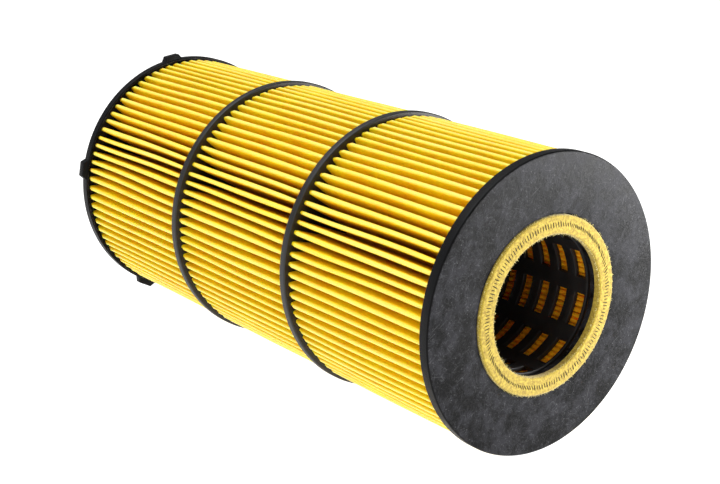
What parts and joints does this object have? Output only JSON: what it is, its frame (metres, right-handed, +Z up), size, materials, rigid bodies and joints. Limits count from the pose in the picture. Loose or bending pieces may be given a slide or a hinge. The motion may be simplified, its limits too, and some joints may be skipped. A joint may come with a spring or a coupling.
{
  "type": "oil filter insert",
  "caption": "Long pleated paper oil filter insert in stages between end caps and stage discs, with a windowed core tube and a felt seal ring at each end.",
  "frame": {"origin": "on the insert's axis, half-way between the faces of the two end caps", "axes": "+X along the axis, out of the front cap, which has no lugs; +Z up with the insert lying on its rims; +Y to the right when looking from in front of the front cap towards -X"},
  "size_m": [0.2634, 0.1231, 0.123],
  "materials": {
    "black_polyamide": "matte moulded, glass filled, scuffed grey in places",
    "cream_felt": "needled wool felt, fuzzy at the edges",
    "yellow_filter_paper": "resin-cured pleated filter paper, matte to satin",
    "hot_melt": "amber hot-melt glue"
  },
  "bodies": {
    "root": {"front_end_cap": "black_polyamide", "front_felt_seal": "cream_felt", "front_pleat_pack": "yellow_filter_paper", "front_pack_seam": "hot_melt", "front_core_tube": "black_polyamide", "front_stage_disc": "black_polyamide", "middle_pleat_pack": "yellow_filter_paper", "middle_pack_seam": "hot_melt", "middle_core_tube": "black_polyamide", "rear_stage_disc": "black_polyamide", "rear_pleat_pack": "yellow_filter_paper", "rear_pack_seam": "hot_melt", "rear_core_tube": "black_polyamide", "rear_end_cap": "black_polyamide", "rear_felt_seal": "cream_felt"}
  },
  "joints": []
}
